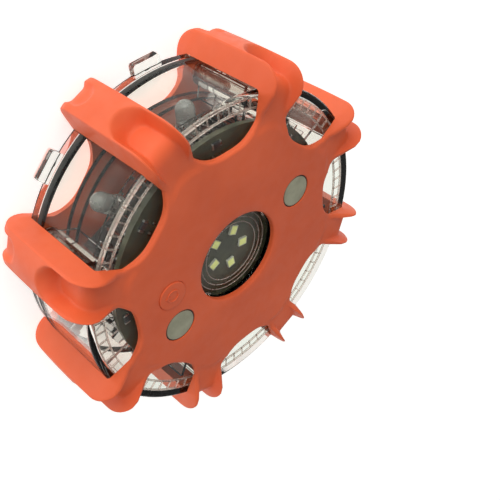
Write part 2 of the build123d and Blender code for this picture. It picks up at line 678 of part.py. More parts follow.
save("magnet_right", magnet(MAGNET_ANGLES[0]))
save("magnet_left", magnet(MAGNET_ANGLES[1]))
save("case_screws", *[screw(CASE_SCREW_RADIUS, CASE_SCREW_LENGTH, CASE_SCREW_HEAD_RADIUS,
                            CASE_SCREW_HEAD, CASE_BACK + CASE_SCREW_HEAD,
                            polar(CASE_SCREW_PLACE, angle)) for angle in CASE_SCREW_ANGLES])
save("board_screws", *[screw(BOARD_SCREW_RADIUS, BOARD_SCREW_LENGTH, BOARD_SCREW_HEAD_RADIUS,
                             BOARD_SCREW_HEAD, BOARD_BOTTOM,
                             polar(BOARD_SCREW_PLACE, angle)) for angle in BOARD_SCREW_ANGLES])

for row in CELL_ROWS:
    save("battery_cell_" + str(row + 2), battery_cell(row))
save("battery_tray", battery_tray())
save("contact_plates", *contact_plates())
save("contact_springs", *contact_springs())
save("red_wire", supply_wire(1))
save("black_wire", supply_wire(-1))
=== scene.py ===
from math import cos, hypot, pi, radians, sin, sqrt

import bmesh
import bpy
from mathutils import Matrix, Vector


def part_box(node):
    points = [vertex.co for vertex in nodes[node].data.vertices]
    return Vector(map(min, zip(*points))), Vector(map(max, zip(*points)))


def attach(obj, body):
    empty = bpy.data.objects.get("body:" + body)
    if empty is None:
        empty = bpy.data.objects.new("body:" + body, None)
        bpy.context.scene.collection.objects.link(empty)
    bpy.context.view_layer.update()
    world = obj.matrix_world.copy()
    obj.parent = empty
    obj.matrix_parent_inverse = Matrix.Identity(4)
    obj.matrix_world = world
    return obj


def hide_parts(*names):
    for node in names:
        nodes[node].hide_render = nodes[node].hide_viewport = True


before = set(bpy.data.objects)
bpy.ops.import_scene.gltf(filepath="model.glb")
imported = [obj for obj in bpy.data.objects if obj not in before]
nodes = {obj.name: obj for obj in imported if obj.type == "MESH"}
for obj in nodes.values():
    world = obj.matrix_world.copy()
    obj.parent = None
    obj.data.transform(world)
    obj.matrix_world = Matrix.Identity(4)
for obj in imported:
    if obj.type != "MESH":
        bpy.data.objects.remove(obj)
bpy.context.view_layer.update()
MM = 0.001

# ---------------------------------------------------------------------------------------------
# Circuit board.  A round fibreglass board under dark solder mask, screwed into the front case.
# Copper tracks stand up a little under the mask.
# ---------------------------------------------------------------------------------------------

BOARD_DARK = (0.050, 0.052, 0.032)
BOARD_LIGHT = (0.085, 0.084, 0.052)
BOARD_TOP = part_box("main_board")[1].z / MM
TRACK_RINGS = (14.5, 17.0, 24.0, 27.0)
TRACK_WIDTH = 0.5
TRACK_HEIGHT = 0.05
TRACK_ROOT = 0.02
TRACK_LEAN = 0.06
PATTERN_LOW = 0.35
PATTERN_HIGH = 0.65


def new_finish(name, colour, roughness):
    """A material with its shader set to one colour and roughness."""
    finish = bpy.data.materials.new(name)
    finish.use_nodes = True
    tree = finish.node_tree
    shader = tree.nodes["Principled BSDF"]
    shader.inputs["Base Color"].default_value = (*colour, 1)
    shader.inputs["Roughness"].default_value = roughness
    return finish, tree, shader


def cloud(tree, scale, detail=4.0):
    """A noise pattern fixed to the object; scale is in features per metre."""
    place = tree.nodes.new("ShaderNodeTexCoord")
    noise = tree.nodes.new("ShaderNodeTexNoise")
    noise.inputs["Scale"].default_value = scale
    noise.inputs["Detail"].default_value = detail
    tree.links.new(place.outputs["Object"], noise.inputs["Vector"])
    return noise.outputs["Fac"]


def graded(tree, source, low, high):
    """A pattern's values stretched to run from low to high."""
    step = tree.nodes.new("ShaderNodeMapRange")
    step.inputs["From Min"].default_value = PATTERN_LOW
    step.inputs["From Max"].default_value = PATTERN_HIGH
    step.inputs["To Min"].default_value = low
    step.inputs["To Max"].default_value = high
    tree.links.new(source, step.inputs["Value"])
    return step.outputs["Result"]


def two_tone(tree, source, first, second):
    """A colour that runs from the first to the second as the pattern rises."""
    ramp = tree.nodes.new("ShaderNodeValToRGB")
    places = (PATTERN_LOW, PATTERN_HIGH)
    for stop, place, colour in zip(ramp.color_ramp.elements, places, (first, second)):
        stop.position = place
        stop.color = (*colour, 1)
    tree.links.new(source, ramp.inputs["Fac"])
    return ramp.outputs["Color"]


def grain(tree, shader, source, height):
    """Raises the surface by a pattern; height is in millimetres."""
    bump = tree.nodes.new("ShaderNodeBump")
    bump.inputs["Distance"].default_value = height * MM
    tree.links.new(source, bump.inputs["Height"])
    tree.links.new(bump.outputs["Normal"], shader.inputs["Normal"])


def worn(name, dark, light, roughness, spread, height, metal=0.0, patch=90, fine=5000, coat=0.0):
    """A solid finish: patchy colour, an uneven sheen, a fine grain and, if asked, a clear coat."""
    finish, tree, shader = new_finish(name, light, roughness)
    shader.inputs["Metallic"].default_value = metal
    shader.inputs["Coat Weight"].default_value = coat
    patches = cloud(tree, patch)
    tree.links.new(two_tone(tree, patches, dark, light), shader.inputs["Base Color"])
    sheen = graded(tree, cloud(tree, patch * 7, 8), roughness - spread, roughness + spread)
    tree.links.new(sheen, shader.inputs["Roughness"])
    grain(tree, shader, cloud(tree, fine, 2), height)
    return finish


def shade(piece, edge=35.0):
    """Smooth shading that keeps edges sharper than the angle crisp."""
    for face in piece.data.polygons:
        face.use_smooth = True
    piece.data.set_sharp_from_angle(angle=radians(edge))


def wear(node_name, finish, edge=35.0):
    """Gives a CAD node its finish."""
    piece = nodes[node_name]
    piece.data.materials.clear()
    piece.data.materials.append(finish)
    shade(piece, edge)


def add_piece(name, mesh, finish, stands_for=(), body="light", edge=35.0):
    """Turns a mesh in millimetres into a piece that rides on a body."""
    bmesh.ops.scale(mesh, vec=(MM, MM, MM), verts=mesh.verts)
    bmesh.ops.recalc_face_normals(mesh, faces=mesh.faces)
    data = bpy.data.meshes.new(name)
    mesh.to_mesh(data)
    mesh.free()
    piece = bpy.data.objects.new(name, data)
    bpy.context.scene.collection.objects.link(piece)
    for each in finish if isinstance(finish, (list, tuple)) else [finish]:
        data.materials.append(each)
    shade(piece, edge)
    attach(piece, body)
    if stands_for:
        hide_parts(*stands_for)
    return piece


def lathe(mesh, profile, steps=96, place=Matrix(), material=0):
    """Turns a closed (radius, height) profile round the Z axis, then puts it in place."""
    rings = []
    for radius, height in profile:
        if radius < 0.0001:
            rings.append([mesh.verts.new(place @ Vector((0, 0, height)))] * steps)
            continue
        ring = []
        for step in range(steps):
            turn = 2 * pi * step / steps
            ring.append(mesh.verts.new(place @ Vector((radius * cos(turn), radius * sin(turn), height))))
        rings.append(ring)
    for index, lower in enumerate(rings):
        upper = rings[(index + 1) % len(rings)]
        for step in range(steps):
            near = (step + 1) % steps
            corners = []
            for vert in (lower[step], lower[near], upper[near], upper[step]):
                if vert not in corners:
                    corners.append(vert)
            if len(corners) > 2:
                mesh.faces.new(corners).material_index = material


def rounded_box(mesh, size, place, bevel, material=0):
    """A box with rounded edges, for small moulded parts."""
    made = bmesh.ops.create_cube(mesh, size=1.0)["verts"]
    bmesh.ops.scale(mesh, vec=size, verts=made)
    edges = {edge for vert in made for edge in vert.link_edges}
    result = bmesh.ops.bevel(mesh, geom=list(edges), offset=bevel, segments=3, affect="EDGES", profile=0.5)
    verts = {vert for face in result["faces"] for vert in face.verts}
    verts |= {vert for vert in made if vert.is_valid}
    bmesh.ops.transform(mesh, matrix=place, verts=list(verts))
    for vert in verts:
        for face in vert.link_faces:
            face.material_index = material


def spot(radius, angle, height=0.0, turn=0.0):
    """A place at a radius and an angle from the middle, turned to face outward."""
    out = Matrix.Rotation(radians(angle), 4, "Z") @ Matrix.Translation((radius, 0, height))
    return out @ Matrix.Rotation(radians(turn), 4, "Z")


board_finish = worn("board_mask", BOARD_DARK, BOARD_LIGHT, 0.36, 0.06, 0.004, patch=200, coat=0.15)
wear("main_board", board_finish)

tracks = bmesh.new()
for radius in TRACK_RINGS:
    outside = radius + TRACK_WIDTH
    low = BOARD_TOP - TRACK_ROOT
    high = BOARD_TOP + TRACK_HEIGHT
    profile = [(radius, low), (radius + TRACK_LEAN, high), (outside - TRACK_LEAN, high), (outside, low)]
    lathe(tracks, profile, 128)
track_finish = worn("mask_over_copper", (0.085, 0.095, 0.05), (0.12, 0.125, 0.07), 0.3, 0.05, 0.003)
add_piece("board_tracks", tracks, track_finish)

# ---------------------------------------------------------------------------------------------
# White lamps.  Five surface-mount packages in a ring behind the lens: a white moulded body with a
# yellow phosphor pool in its well and a tinned terminal at each end.
# ---------------------------------------------------------------------------------------------

LED_COUNT = 5
LED_PLACE = 5.7
LED_FIRST = 38.5
LED_SIZE = (2.9, 2.5, 0.8)
LED_ROUNDING = 0.12
LID_AREA = 4
WELL_WALL = 0.18
WELL_DEPTH = 0.25
TERMINAL = (0.42, 2.0, 0.28)
TERMINAL_IN = 0.15
TERMINAL_MIDDLE = 0.16
TERMINAL_ROUNDING = 0.06
POOL = (2.5, 2.1, 0.26)
POOL_DROP = 0.17
# Painted glow: the unlit phosphor is made to shine faintly yellow.
PAINTED_GLOW = (0.86, 0.88, 0.34)
PAINTED_GLOW_STRENGTH = 0.22

white_plastic = worn("led_white_plastic", (0.62, 0.61, 0.52), (0.74, 0.73, 0.64), 0.45, 0.08, 0.003)
phosphor = worn("led_phosphor", (0.78, 0.80, 0.26), (0.92, 0.92, 0.38), 0.35, 0.08, 0.004, patch=900)
# The phosphor pools glow faintly though the lamps are off: a painted glow.
phosphor_shader = phosphor.node_tree.nodes["Principled BSDF"]
phosphor_shader.inputs["Emission Color"].default_value = (*PAINTED_GLOW, 1)
phosphor_shader.inputs["Emission Strength"].default_value = PAINTED_GLOW_STRENGTH
tinned = worn("tinned_leads", (0.46, 0.46, 0.45), (0.68, 0.68, 0.66), 0.32, 0.10, 0.004, metal=1.0)

pools = bmesh.new()
for number in range(LED_COUNT):
    stand = spot(LED_PLACE, LED_FIRST + number * 360 / LED_COUNT, BOARD_TOP)
    package = bmesh.new()
    length, _, height = LED_SIZE
    rounded_box(package, LED_SIZE, stand @ Matrix.Translation((0, 0, height / 2)), LED_ROUNDING)
    lid = [face for face in package.faces if face.calc_center_median().z > BOARD_TOP + height - 0.01
           and face.calc_area() > LID_AREA]
    bmesh.ops.inset_region(package, faces=lid, thickness=WELL_WALL, depth=0.0)
    for vert in {vert for face in lid if face.is_valid for vert in face.verts}:
        vert.co.z -= WELL_DEPTH
    for side in (-1, 1):
        foot = stand @ Matrix.Translation((side * (length / 2 - TERMINAL_IN), 0, TERMINAL_MIDDLE))
        rounded_box(package, TERMINAL, foot, TERMINAL_ROUNDING, 1)
    add_piece(f"white_lamp_{number + 1}", package, [white_plastic, tinned],
              [f"white_led_{number + 1}"])
    rounded_box(pools, POOL, stand @ Matrix.Translation((0, 0, height - POOL_DROP)), LED_ROUNDING)
add_piece("phosphor_pools", pools, phosphor, ["white_led_phosphors"])

# ---------------------------------------------------------------------------------------------
# Small parts on the board.  Chip resistors behind each window, with plated ends; the driver chip,
# capacitors and transistors sit underneath.
# ---------------------------------------------------------------------------------------------

RESISTOR_LONG = 3.2
CERAMIC = (2.7, 1.56, 0.56)
CERAMIC_ROUNDING = 0.06
CAP = (0.6, 1.6, 0.6)
CAP_ROUNDING = 0.08
RESISTOR_PLACE = 34.6
ARMS = 8
PITCH = 360 / ARMS

ceramic = worn("resistor_ceramic", (0.020, 0.020, 0.022), (0.045, 0.045, 0.048), 0.4, 0.1, 0.004)
chips = bmesh.new()
for arm in range(ARMS):
    stand = spot(RESISTOR_PLACE, arm * PITCH + PITCH / 2, BOARD_TOP + CAP[2] / 2, 90)
    rounded_box(chips, CERAMIC, stand, CERAMIC_ROUNDING)
    for side in (-1, 1):
        end = stand @ Matrix.Translation((side * (RESISTOR_LONG - CAP[0]) / 2, 0, 0))
        rounded_box(chips, CAP, end, CAP_ROUNDING, 1)
add_piece("window_resistors", chips, [ceramic, tinned], ["chip_resistors"])
black_epoxy = worn("chip_plastic", (0.016, 0.016, 0.017), (0.034, 0.034, 0.036), 0.5, 0.1, 0.01)
for name in ("controller_chip", "driver_transistors"):
    wear(name, black_epoxy)
tan_ceramic = worn("capacitor_ceramic", (0.38, 0.27, 0.16), (0.50, 0.37, 0.24), 0.5, 0.08, 0.006)
wear("chip_capacitors", tan_ceramic)
wear("side_lamp_leads", tinned)

# ---------------------------------------------------------------------------------------------
# Side lamps.  Eight 5 mm lamps looking out between the arms, each a cast epoxy dome with a flange
# round its back, a reflector cup inside and two leads turned up into the board.
# ---------------------------------------------------------------------------------------------

LAMP_R = 2.5
FLANGE_R = 2.9
FLANGE_THICK = 1.0
FLANGE_ROUNDING = 0.15
LAMP_BACK = 33.4
DOME_CENTRE = 39.5
LAMP_Z = 18.0
CUP_PLACE = (0, 0.75, 1.6)
PIN_WIDTH = 0.5
PIN_SIDE = 1.27
PIN_ROOT = 0.4
PIN_LENGTHS = (3.0, 2.6)
PIN_ROUNDING = 0.08


def clear(name, tint, roughness, bend, haze=0.0):
    """A clear plastic; light from the studio lamps passes straight through it as a tint."""
    finish, tree, shader = new_finish(name, tint, roughness)
    shader.inputs["Transmission Weight"].default_value = 1.0 - haze
    shader.inputs["IOR"].default_value = bend
    smear = graded(tree, cloud(tree, 300, 6), roughness * 0.4, roughness * 1.8)
    tree.links.new(smear, shader.inputs["Roughness"])
    grain(tree, shader, cloud(tree, 90, 2), 0.004)
    path = tree.nodes.new("ShaderNodeLightPath")
    thin = tree.nodes.new("ShaderNodeBsdfTransparent")
    thin.inputs["Color"].default_value = (*tint, 1)
    mix = tree.nodes.new("ShaderNodeMixShader")
    tree.links.new(path.outputs["Is Shadow Ray"], mix.inputs["Fac"])
    tree.links.new(shader.outputs["BSDF"], mix.inputs[1])
    tree.links.new(thin.outputs["BSDF"], mix.inputs[2])
    tree.links.new(mix.outputs["Shader"], tree.nodes["Material Output"].inputs["Surface"])
    return finish


epoxy = clear("clear_epoxy", (0.40, 0.40, 0.385), 0.20, 1.5, haze=0.35)
dome = [(LAMP_R * cos(radians(turn)), DOME_CENTRE - LAMP_BACK + LAMP_R * sin(radians(turn)))
        for turn in range(0, 90, 9)] + [(0, DOME_CENTRE - LAMP_BACK + LAMP_R)]
lamp_profile = [(0, 0), (FLANGE_R - FLANGE_ROUNDING, 0), (FLANGE_R, FLANGE_ROUNDING),
                (FLANGE_R, FLANGE_THICK - FLANGE_ROUNDING), (FLANGE_R - 0.12, FLANGE_THICK),
                (LAMP_R, FLANGE_THICK)] + dome
cup_profile = [(0, 0), (0.55, 0), (0.62, 0.9), (1.05, 1.5), (0.95, 1.52), (0.5, 1.1), (0, 1.05)]
frames = bmesh.new()
for arm in range(ARMS):
    stand = spot(LAMP_BACK, arm * PITCH + PITCH / 2, LAMP_Z) @ Matrix.Rotation(radians(90), 4, "Y")
    lamp = bmesh.new()
    lathe(lamp, lamp_profile, 48, stand)
    add_piece(f"dome_lamp_{arm + 1}", lamp, epoxy, [f"side_lamp_{arm + 1}"], edge=50)
    lathe(frames, cup_profile, 24, stand @ Matrix.Translation(CUP_PLACE))
    for side, reach in zip((-PIN_SIDE, PIN_SIDE), PIN_LENGTHS):
        post = stand @ Matrix.Translation((0, side, PIN_ROOT + reach / 2))
        rounded_box(frames, (PIN_WIDTH, PIN_WIDTH, reach), post, PIN_ROUNDING)
add_piece("lamp_frames", frames, tinned)

# ---------------------------------------------------------------------------------------------
# Clear case.  Two polycarbonate mouldings: a deep front with the lens and four screw bosses in it,
# and a shallow back cover.  They close on the seal between them.
# ---------------------------------------------------------------------------------------------

CASE_WALL = 1.8
RIM_FILLET = 1.1
LENS_R = 13.5
LENS_TOP = 30.2
LENS_UNDER = 28.9
SCREW_PLACE = 41.0
BOSS_R = 3.0
BOSS_BORE = 1.4
BOSS_GAP = 0.1
WELL_GAP = 0.03
HOLE_OVERRUN = 3

case_finish = clear("clear_polycarbonate", (0.93, 0.95, 0.915), 0.01, 1.24)
wear("back_cover", case_finish, 30)


def steady(piece):
    """Lets a piece's large faces lead its shading, so that light bends only at its rounded edges."""
    weighted = piece.modifiers.new("steady_shading", "WEIGHTED_NORMAL")
    weighted.keep_sharp = True
    weighted.weight = 100


steady(nodes["back_cover"])


def arc(middle, radius, start, stop, steps):
    """Points along an arc, from one angle to another."""
    points = []
    for step in range(steps + 1):
        turn = radians(start + (stop - start) * step / steps)
        points.append((middle[0] + radius * cos(turn), middle[1] + radius * sin(turn)))
    return points


def cut_hole(piece, radius, place, low, high, flare):
    """Cuts a round hole with a slightly opened mouth through a piece."""
    tool_mesh = bmesh.new()
    mouth = radius + flare
    top = high + HOLE_OVERRUN
    profile = [(0, low), (radius, low), (radius, high - flare), (radius + flare * 0.3, high - flare * 0.3)]
    profile += [(mouth, high), (mouth, top), (0, top)]
    lathe(tool_mesh, profile, 64, Matrix.Translation((place.x, place.y, 0)))
    bmesh.ops.scale(tool_mesh, vec=(MM, MM, MM), verts=tool_mesh.verts)
    bmesh.ops.recalc_face_normals(tool_mesh, faces=tool_mesh.faces)
    data = bpy.data.meshes.new("cutter")
    tool_mesh.to_mesh(data)
    tool_mesh.free()
    tool = bpy.data.objects.new("cutter", data)
    bpy.context.scene.collection.objects.link(tool)
    cut = piece.modifiers.new("hole", "BOOLEAN")
    cut.operation = "DIFFERENCE"
    cut.solver = "EXACT"
    cut.object = tool
    with bpy.context.temp_override(object=piece, active_object=piece, selected_objects=[piece]):
        bpy.ops.object.modifier_apply(modifier=cut.name)
    bpy.data.objects.remove(tool)
    shade(piece, 50)


case_low, case_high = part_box("front_case")
case_bottom, case_top, case_r = case_low.z / MM, case_high.z / MM, case_high.x / MM
plate_under = case_top - CASE_WALL
inner_r = case_r - CASE_WALL
hub = (case_r - RIM_FILLET, case_top - RIM_FILLET)
case_profile = [(case_r, case_bottom + 0.2), (case_r, hub[1] - 0.05)] + arc(hub, RIM_FILLET, 0, 90, 8)
case_profile += [(hub[0] - 0.05, case_top), (LENS_R + 0.95, case_top)]
case_profile += arc((LENS_R + 0.9, case_top - 0.5), 0.5, 90, 180, 4)
case_profile += [(LENS_R + 0.3, LENS_TOP + 0.1), (LENS_R + 0.1, LENS_TOP), (0, LENS_TOP), (0, LENS_UNDER)]
case_profile += [(LENS_R, LENS_UNDER), (LENS_R + 0.7, plate_under)]
case_profile += [(LENS_R + 0.8, plate_under), (inner_r - 0.65, plate_under)]
case_profile += arc((inner_r - 0.6, plate_under - 0.6), 0.6, 90, 0, 5) + [(inner_r, plate_under - 0.65)]
case_profile += [(inner_r, case_bottom), (case_r - 0.2, case_bottom)]
case_mesh = bmesh.new()
lathe(case_mesh, case_profile, 240)
boss_top = plate_under - BOSS_GAP
boss_profile = [(BOSS_BORE, case_bottom), (BOSS_R, case_bottom), (BOSS_R, boss_top), (BOSS_BORE, boss_top)]
for corner in range(4):
    lathe(case_mesh, boss_profile, 32, spot(SCREW_PLACE, 45 + 90 * corner))
case_piece = add_piece("case_front", case_mesh, case_finish, ["front_case"], edge=50)
for name in ("magnet_right", "magnet_left", "plunger_seal"):
    low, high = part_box(name)
    hole_r = (high.x - low.x) / 2 / MM + WELL_GAP
    cut_hole(case_piece, hole_r, (low + high) / 2 / MM, low.z / MM - 0.02, case_top + 1, 0.01)
steady(case_piece)

# ---------------------------------------------------------------------------------------------
# Lamp carrier.  A ribbed clear moulding inside the case.  It holds the side lamps level, and its
# wall shows between the arms.
# ---------------------------------------------------------------------------------------------

# Its slight pink tint is a painted reflection of the orange rubber round it.
carrier_finish = clear("carrier_polycarbonate_painted_reflection", (0.985, 0.955, 0.945), 0.01, 1.26)
wear("led_carrier", carrier_finish, 30)
steady(nodes["led_carrier"])

# ---------------------------------------------------------------------------------------------
# Prism ribs and lens rings.  Short bars between two rails under the case's face, and three fine
# rings round the lens, all moulded in one with the case to spread the light.
# ---------------------------------------------------------------------------------------------

RUNG_TOP = 30.0
RUNG_DROP = 0.5
RUNG_WIDTH = 0.35
RUNG_ROUNDING = 0.1
RUNG_ANGLES = [-13.5 + 4.5 * step for step in range(7)]
RAILS = (41.9, 44.8)
RAIL_HALF = 0.2
LENS_RINGS = (8.9, 10.5, 12.0)
RING_WIDTH = 0.3
RING_LEAN = 0.05
RING_HIGH = LENS_TOP - 0.02
RING_LOW = LENS_TOP - 0.22

rungs = bmesh.new()
rung_middle = (RAILS[0] + RAILS[1]) / 2
rung_low = RUNG_TOP - RUNG_DROP
for arm in range(ARMS):
    middle_angle = arm * PITCH + PITCH / 2
    for angle in RUNG_ANGLES:
        stand = spot(rung_middle, middle_angle + angle, RUNG_TOP - RUNG_DROP / 2)
        rounded_box(rungs, (RAILS[1] - RAILS[0], RUNG_WIDTH, RUNG_DROP), stand, RUNG_ROUNDING)
for radius in RAILS:
    inside, outside = radius - RAIL_HALF, radius + RAIL_HALF
    lathe(rungs, [(inside, rung_low), (outside, rung_low), (outside, RUNG_TOP), (inside, RUNG_TOP)], 160)
# The pink tints of the lens rings and prism ribs, milky where hazed, are a painted reflection of the orange
# rubber.
frosted = clear("frosted_edges_painted_reflection", (0.84, 0.72, 0.68), 0.3, 1.4, haze=0.25)
prism_finish = clear("prism_ribs_painted_reflection", (0.88, 0.77, 0.73), 0.22, 1.22, haze=0.12)
add_piece("case_prisms", rungs, prism_finish)

lens_rings = bmesh.new()
for radius in LENS_RINGS:
    outside = radius + RING_WIDTH
    profile = [(radius, RING_LOW), (radius + RING_LEAN, RING_HIGH), (outside - RING_LEAN, RING_HIGH)]
    lathe(lens_rings, profile + [(outside, RING_LOW)], 160)
add_piece("lens_ring_marks", lens_rings, frosted)

# ---------------------------------------------------------------------------------------------
# Seal.  A black silicone ring squeezed between the two halves of the case, so it bulges a little.
# ---------------------------------------------------------------------------------------------

seal_low, seal_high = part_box("case_seal")
SEAL_R = seal_high.x / MM
SEAL_LOW = seal_low.z / MM
SEAL_HIGH = seal_high.z / MM
SEAL_WIDTH = 1.8
SEAL_BULGE = 0.25
silicone = worn("black_silicone", (0.018, 0.019, 0.017), (0.040, 0.041, 0.037), 0.5, 0.1, 0.01)
seal_mesh = bmesh.new()
bulge = [(SEAL_R - SEAL_BULGE * (2 * share - 1) ** 2, SEAL_LOW + (SEAL_HIGH - SEAL_LOW) * share)
         for share in (0.0, 0.15, 0.3, 0.5, 0.7, 0.85, 1.0)]
lathe(seal_mesh, [(SEAL_R - SEAL_WIDTH, SEAL_HIGH), (SEAL_R - SEAL_WIDTH, SEAL_LOW)] + bulge, 256)
add_piece("seal_ring", seal_mesh, silicone, ["case_seal"])
wear("plunger_seal", silicone)

# ---------------------------------------------------------------------------------------------
# Batteries.  Three cells in a black tray on the back cover, with blue plastic sleeves and bare
# steel ends, sprung contacts and two wires up to the board.
# ---------------------------------------------------------------------------------------------

CELL_R = 5.2
CELL_LONG = 43.2
SLEEVE_DARK = (0.035, 0.05, 0.09)
SLEEVE_LIGHT = (0.055, 0.075, 0.13)

sleeve = worn("cell_wrap", SLEEVE_DARK, SLEEVE_LIGHT, 0.3, 0.06, 0.003, coat=0.5)
steel = worn("contact_steel", (0.45, 0.44, 0.42), (0.62, 0.61, 0.58), 0.35, 0.1, 0.006, metal=1.0)
for number in range(1, 4):
    low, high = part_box(f"battery_cell_{number}")
    centre = (low + high) / 2 / MM
    facing = 90 if number == 2 else -90
    lie = Matrix.Translation(centre) @ Matrix.Rotation(radians(facing), 4, "Y")
    cell = bmesh.new()
    half = CELL_LONG / 2
    can = [(0, half), (1.7, half), (1.9, half - 0.2), (1.9, half - 1.0), (3.4, half - 1.0)]
    can += [(3.7, half - 1.2), (3.7, 1 - half), (3.4, 0.2 - half), (3.2, -half), (0, -half)]
    lathe(cell, can, 48, lie, 1)
    wrap = [(3.9, half - 1.0), (4.8, half - 1.05), (CELL_R, half - 1.5), (CELL_R, 0.6 - half)]
    wrap += [(4.8, 0.15 - half), (3.9, 0.1 - half), (3.8, 1 - half), (3.8, half - 1.6)]
    lathe(cell, wrap, 48, lie)
    add_piece(f"cell_{number}", cell, [sleeve, steel], [f"battery_cell_{number}"])
black_plastic = worn("black_plastic", (0.02, 0.02, 0.021), (0.04, 0.04, 0.042), 0.5, 0.1, 0.012)
wear("battery_tray", black_plastic)
wear("contact_plates", steel)
wear("contact_springs", steel)
red = worn("red_insulation", (0.42, 0.025, 0.02), (0.55, 0.04, 0.03), 0.4, 0.08, 0.004)
black = worn("black_insulation", (0.02, 0.02, 0.02), (0.04, 0.04, 0.04), 0.4, 0.08, 0.004)
wear("red_wire", red)
wear("black_wire", black)

# ---------------------------------------------------------------------------------------------
# Screws.  Small zinc-plated steel screws: one set draws the two halves of the case together, and
# the other holds the board.
# ---------------------------------------------------------------------------------------------

zinc = worn("zinc_steel", (0.42, 0.41, 0.38), (0.58, 0.57, 0.53), 0.34, 0.1, 0.005, metal=1.0)
wear("case_screws", zinc)
wear("board_screws", zinc)

# ---------------------------------------------------------------------------------------------
# Rubber jacket.  One soft moulding stretched over the case: an eight-pointed star on each face,
# joined by eight arms.  A finger-wide scoop runs over each arm's corner and leaves a thin rib on
# either side of it; the back corners have a shallower scoop.
# ---------------------------------------------------------------------------------------------

jacket_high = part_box("rubber_jacket")[1]
HEIGHT = jacket_high.z / MM
REACH = jacket_high.x / MM
MID = HEIGHT / 2
FACE = HEIGHT - 2.5
CASE_R = 47.04
CASE_TOP = 31.84
CASE_EDGE = 1.1
HOLE_R = 13.5
HALF = radians(180 / ARMS)
NOTCH_R = 34.1
NOTCH_TURN = radians(15)
NOTCH_RISE = 1.58
NOTCH_FLARE = 3.97
BAND = 2.0
RISE_START = 37.0
CREST_IN = 43.5
CREST_OUT = 47.5
CORNER_R = 6.3
FOOT_WIDTH = 6.3
NECK_WIDTH = 5.2
NECK_START = 39.34
NECK_RUN = 7.2
EDGE_WIDTH = 1.55
EDGE_ROUND = 0.85
LEAN_FROM = 1.75
LEAN_RATE = 0.45
LAST_NOTCH_ROW = 39.3
STRAIGHT_FROM = 40
CROWDED_FROM = 42
WINDOW_BEVEL = 0.6
RIB_TOP = 4.85
RIB_OUTSIDE = 5.2
CROWN = 0.9
FRONT_SCOOP = dict(floor_r=49.2, floor_z=33.0, end=24.9, half=4.85, slope=2.8, end_slope=1.6, corner=3.4)
BACK_SCOOP = dict(floor_r=52.4, floor_z=34.6, end=29.3, half=3.7, slope=1.0, end_slope=0.7, corner=4.6)
DEEPEST = 6.0
DEPTH_STEP = 0.02
ACROSS = 18
SIDE_ROWS = 24
FILLET_STEPS = 4


def soft_least(first, second, softness):
    """The smaller of two lengths, with a soft turn where they cross."""
    return (first + second - sqrt((first - second) ** 2 + softness ** 2)) / 2


def blank_height(along):
    """How high the arm's own top stands at a distance from the centre, before it is scooped."""
    if along <= RISE_START:
        return FACE
    if along >= CREST_IN:
        return HEIGHT
    rise, run = HEIGHT - FACE, CREST_IN - RISE_START
    radius = (run * run + rise * rise) / (2 * rise)
    back = CREST_IN - along
    return max(FACE, HEIGHT - radius + sqrt(radius * radius - back * back))


def floor_depth(scoop, normal, along, high):
    """How far below the arm's top the scoop's floor lies, straight down the row's normal."""
    bend_out = scoop["floor_r"] - scoop["corner"]
    bend_high = scoop["floor_z"] - scoop["corner"]
    depth = 0.0
    while depth < DEEPEST:
        x = along - normal[0] * depth
        z = high - normal[1] * depth
        if x <= bend_out:
            inside = z <= scoop["floor_z"]
        elif z <= bend_high:
            inside = x <= scoop["floor_r"]
        else:
            inside = hypot(x - bend_out, z - bend_high) <= scoop["corner"]
        if inside:
            return depth
        depth += DEPTH_STEP
    return depth


def scoop_depth(scoop, normal, along, across, high):
    """The scoop's depth at a point of the arm's top: a flat floor, sloping sides, a round end."""
    floor = floor_depth(scoop, normal, along, high)
    beyond = max(0.0, scoop["end"] - high) if normal == (1.0, 0.0) else 0.0
    slope = scoop["slope"] - (scoop["slope"] - scoop["end_slope"]) * min(1.0, beyond / 3.0)
    wall = slope * (scoop["half"] - hypot(across, beyond))
    depth = soft_least(floor, wall, 0.5)
    return (depth + sqrt(depth * depth + 0.04)) / 2 if depth > -1.0 else 0.0


def notch_edge(turn):
    """A point of the notch's rounded floor, at an angle from its middle, in the arm's frame."""
    share = turn / NOTCH_TURN
    radius = NOTCH_R + NOTCH_RISE * share ** 2 + NOTCH_FLARE * share ** 4
    return Vector((radius * cos(HALF - turn), radius * sin(HALF - turn)))


